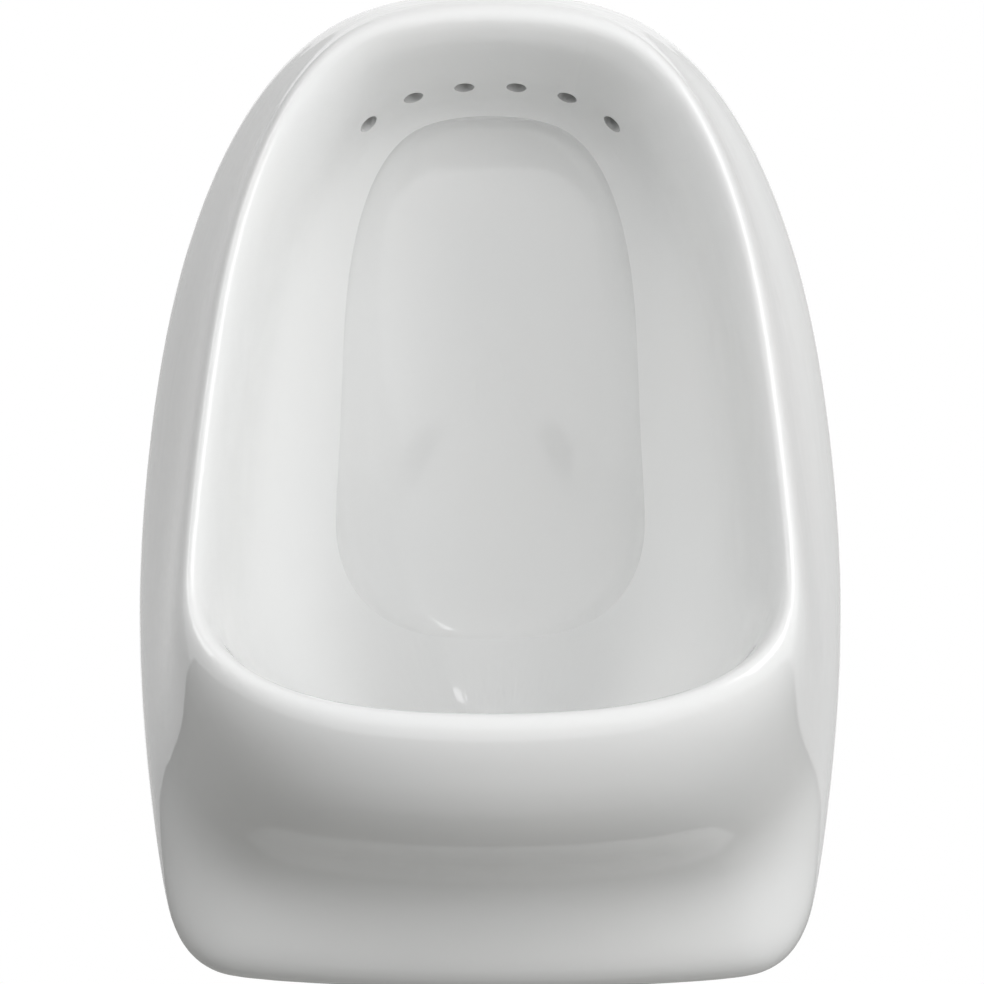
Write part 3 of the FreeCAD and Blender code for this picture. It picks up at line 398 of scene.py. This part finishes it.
bpy.ops.mesh.normals_make_consistent(inside=False)
bpy.ops.object.mode_set(mode="OBJECT")

bpy.ops.object.select_all(action="DESELECT")
ridge.select_set(True)
spud.select_set(True)
bpy.context.view_layer.objects.active = spud
bpy.ops.object.join()
bpy.ops.object.shade_smooth_by_angle(angle=radians(35))
spud.data.materials.append(brass)
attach(spud, "china")
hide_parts("inlet_spud")

# ----------- the rubber pieces: inlet seal, gaskets, insert and outlet seals, the pads
#
# Black EPDM rubber, moulded or punched from sheet. It is matt, faintly grey where it has
# bloomed, and carries the fine grain of its mould.

RUBBER_BLACK = "#1C1C1D"
RUBBER_BLOOM = "#2E2E2F"
RUBBER_GRAIN = 0.0007            # metres

rubber, tree = new_material("black_epdm_rubber")
place = add_node(tree, "ShaderNodeTexCoord")
bloom = add_node(tree, "ShaderNodeTexNoise", {"Scale": 70.0, "Detail": 3.0},
                 Vector=place.outputs["Object"])
grain = add_node(tree, "ShaderNodeTexNoise", {"Scale": 1 / RUBBER_GRAIN, "Detail": 2.0},
                 Vector=place.outputs["Object"])
tone = add_node(tree, "ShaderNodeMix",
                {"data_type": "RGBA", 6: linear(RUBBER_BLACK), 7: linear(RUBBER_BLOOM)},
                _0=bloom.outputs[0])
dull = add_node(tree, "ShaderNodeMapRange", {"To Min": 0.6, "To Max": 0.82},
                Value=bloom.outputs[0])
pores = add_node(tree, "ShaderNodeBump", {"Strength": 0.3, "Distance": 0.0002},
                 Height=grain.outputs[0])
moulded = add_node(tree, "ShaderNodeBsdfPrincipled", {"IOR": 1.5},
                   Base_Color=tone.outputs[2], Roughness=dull.outputs[0],
                   Normal=pores.outputs[0])
add_node(tree, "ShaderNodeOutputMaterial", Surface=moulded.outputs[0])
cover(rubber, "inlet_seal", "upper_gasket", "lower_gasket", "insert_seal", "outlet_seal",
      "hanger_pads", "clamp_pads")

# ------------------------------ the waste: flange, strainer and knob, plated with chrome
#
# The flange and the knob are turned and the strainer is pressed from sheet, then all
# are polished and plated. Wiping has left fine hairlines, and water a few dull spots.

CHROME = "#D4D7DA"
WATER_SPOT = 0.006               # metres

chrome, tree = new_material("polished_chrome_plate")
place = add_node(tree, "ShaderNodeTexCoord")
spots = add_node(tree, "ShaderNodeTexVoronoi", {"Scale": 1 / WATER_SPOT},
                 Vector=place.outputs["Object"])
wiped = add_node(tree, "ShaderNodeTexNoise", {"Scale": 260.0, "Detail": 5.0},
                 Vector=place.outputs["Object"])
dried = add_node(tree, "ShaderNodeMapRange",
                 {"From Min": 0.0, "From Max": 0.3, "To Min": 0.2, "To Max": 0.06},
                 Value=spots.outputs["Distance"])
haze = add_node(tree, "ShaderNodeMath", {"operation": "MULTIPLY_ADD", 1: 0.08},
                _0=wiped.outputs[0], _2=dried.outputs[0])
hairlines = add_node(tree, "ShaderNodeBump", {"Strength": 0.04, "Distance": 0.0001},
                     Height=wiped.outputs[0])
metal = add_node(tree, "ShaderNodeBsdfPrincipled",
                 {"Base Color": linear(CHROME), "Metallic": 1.0},
                 Roughness=haze.outputs[0], Normal=hairlines.outputs[0])
add_node(tree, "ShaderNodeOutputMaterial", Surface=metal.outputs[0])
cover(chrome, "waste_flange", "waste_strainer", "strainer_knob")

# ------------------------ the trap: cup, insert, nut and outlet pipe, of polypropylene
#
# White polypropylene, moulded in polished steel tools. It is satin rather than glossy,
# a little warm, and slightly uneven where the melt met a thick wall.

PLASTIC_WHITE = "#E8E6DF"
PLASTIC_SHADE = "#DDDAD1"
SINK_MARK = 0.03                 # metres from sink to sink
SATIN_GRAIN = 0.0009             # metres

plastic, tree = new_material("moulded_polypropylene")
place = add_node(tree, "ShaderNodeTexCoord")
sinks = add_node(tree, "ShaderNodeTexNoise", {"Scale": 1 / SINK_MARK, "Detail": 1.0},
                 Vector=place.outputs["Object"])
satin = add_node(tree, "ShaderNodeTexNoise", {"Scale": 1 / SATIN_GRAIN, "Detail": 2.0},
                 Vector=place.outputs["Object"])
tone = add_node(tree, "ShaderNodeMix",
                {"data_type": "RGBA", 6: linear(PLASTIC_WHITE), 7: linear(PLASTIC_SHADE)},
                _0=sinks.outputs[0])
dull = add_node(tree, "ShaderNodeMapRange", {"To Min": 0.34, "To Max": 0.5},
                Value=satin.outputs[0])
skin = add_node(tree, "ShaderNodeBump", {"Strength": 0.12, "Distance": 0.0002},
                Height=satin.outputs[0])
moulded = add_node(tree, "ShaderNodeBsdfPrincipled", {"IOR": 1.49},
                   Base_Color=tone.outputs[2], Roughness=dull.outputs[0],
                   Normal=skin.outputs[0])
add_node(tree, "ShaderNodeOutputMaterial", Surface=moulded.outputs[0])
cover(plastic, "trap_body", "trap_insert", "outlet_nut", "outlet_pipe")

# -------------------------- the fixings: hangers, lower angles, clamp screws and nuts
#
# Flat steel, folded on a brake and zinc plated, with plated screws. The plating is a
# bluish grey with a faint straw tint, streaked along the rolling of the sheet.

ZINC_BLUE = "#BFC4C9"
ZINC_STRAW = "#BDB8A6"
ROLLING = (60.0, 900.0, 900.0)   # streaks per metre along the sheet and across it

zinc, tree = new_material("zinc_plated_steel")
place = add_node(tree, "ShaderNodeTexCoord")
stretched = add_node(tree, "ShaderNodeMapping", {"Scale": ROLLING},
                     Vector=place.outputs["Object"])
streaks = add_node(tree, "ShaderNodeTexNoise", {"Scale": 1.0, "Detail": 3.0},
                   Vector=stretched.outputs[0])
tint = add_node(tree, "ShaderNodeTexNoise", {"Scale": 55.0, "Detail": 2.0},
                Vector=place.outputs["Object"])
patch = add_node(tree, "ShaderNodeMapRange", {"From Min": 0.4, "From Max": 0.7},
                 Value=tint.outputs[0])
tone = add_node(tree, "ShaderNodeMix",
                {"data_type": "RGBA", 6: linear(ZINC_BLUE), 7: linear(ZINC_STRAW)},
                _0=patch.outputs[0])
dull = add_node(tree, "ShaderNodeMapRange", {"To Min": 0.26, "To Max": 0.5},
                Value=streaks.outputs[0])
rolled = add_node(tree, "ShaderNodeBump", {"Strength": 0.15, "Distance": 0.0001},
                  Height=streaks.outputs[0])
metal = add_node(tree, "ShaderNodeBsdfPrincipled", {"Metallic": 1.0},
                 Base_Color=tone.outputs[2], Roughness=dull.outputs[0],
                 Normal=rolled.outputs[0])
add_node(tree, "ShaderNodeOutputMaterial", Surface=metal.outputs[0])
cover(zinc, "hanger_left", "hanger_right", "lower_angle_left", "lower_angle_right",
      "clamp_screws", "clamp_nuts")
